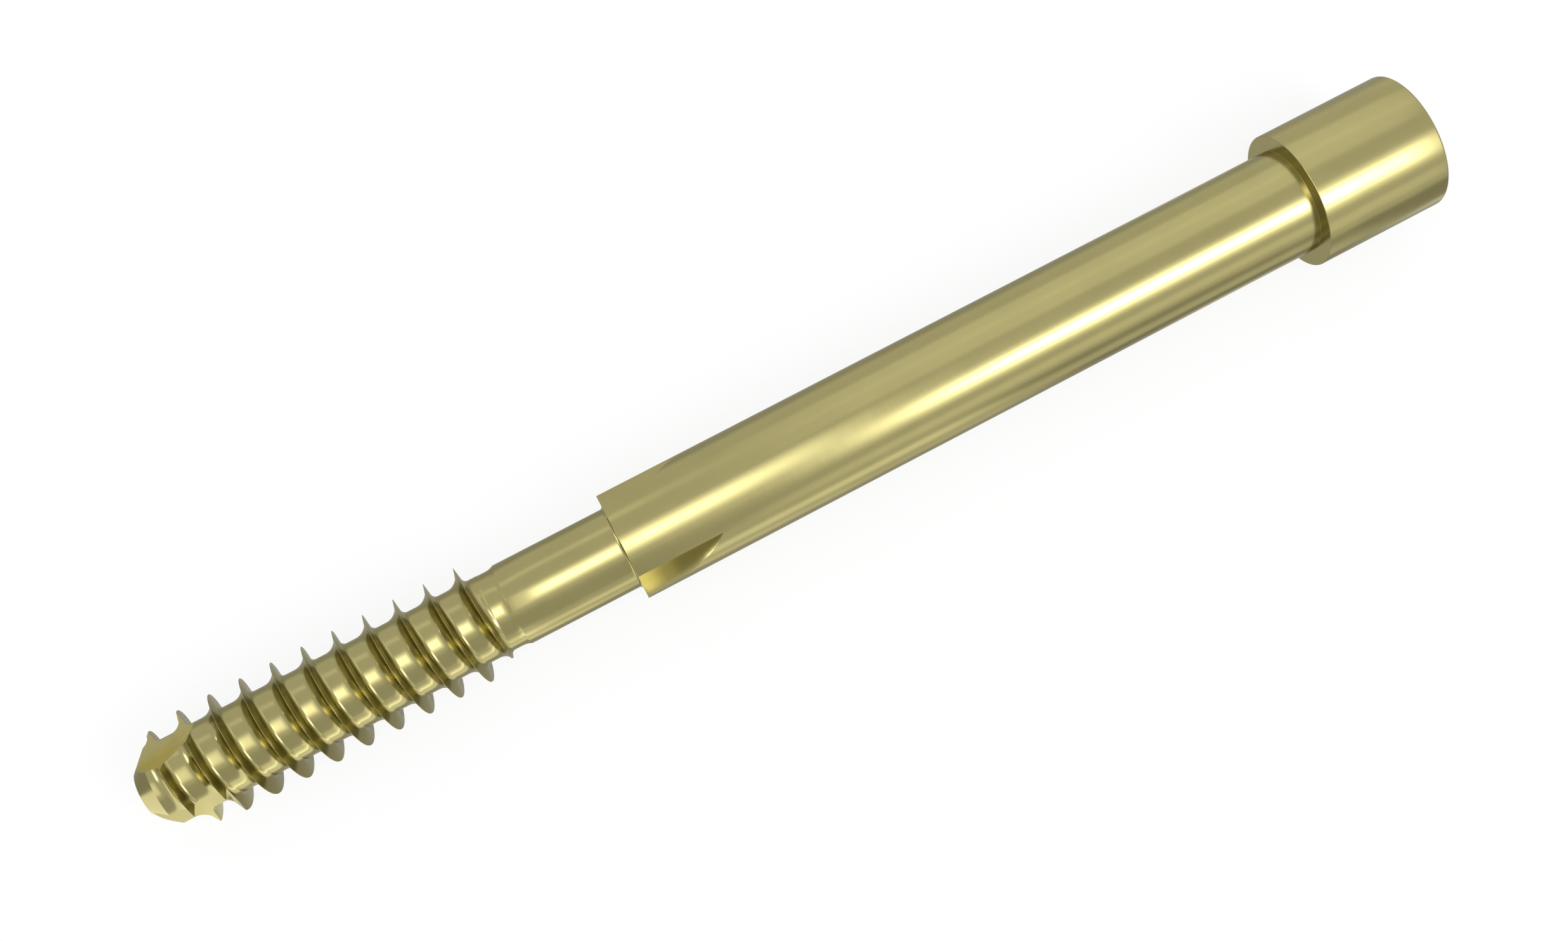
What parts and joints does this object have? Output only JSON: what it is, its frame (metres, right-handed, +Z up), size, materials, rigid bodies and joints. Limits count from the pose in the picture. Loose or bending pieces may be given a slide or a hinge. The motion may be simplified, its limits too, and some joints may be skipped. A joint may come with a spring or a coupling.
{
  "type": "orthopedic bone screw",
  "caption": "Long metal bone screw with a coarse self-cutting thread, plain neck, thick smooth barrel and round head.",
  "frame": {"origin": "on the surface that the screw lies on, under the middle of its length", "axes": "+X along the screw towards its head, +Z up; the screw's own axis rises 0.7 degrees from +X, because the head is wider than the thread"},
  "size_m": [0.1, 0.0104, 0.0104],
  "materials": {
    "gold_titanium": "satin, anodised to an olive gold"
  },
  "bodies": {
    "root": {"bone_screw": "gold_titanium"}
  },
  "joints": []
}
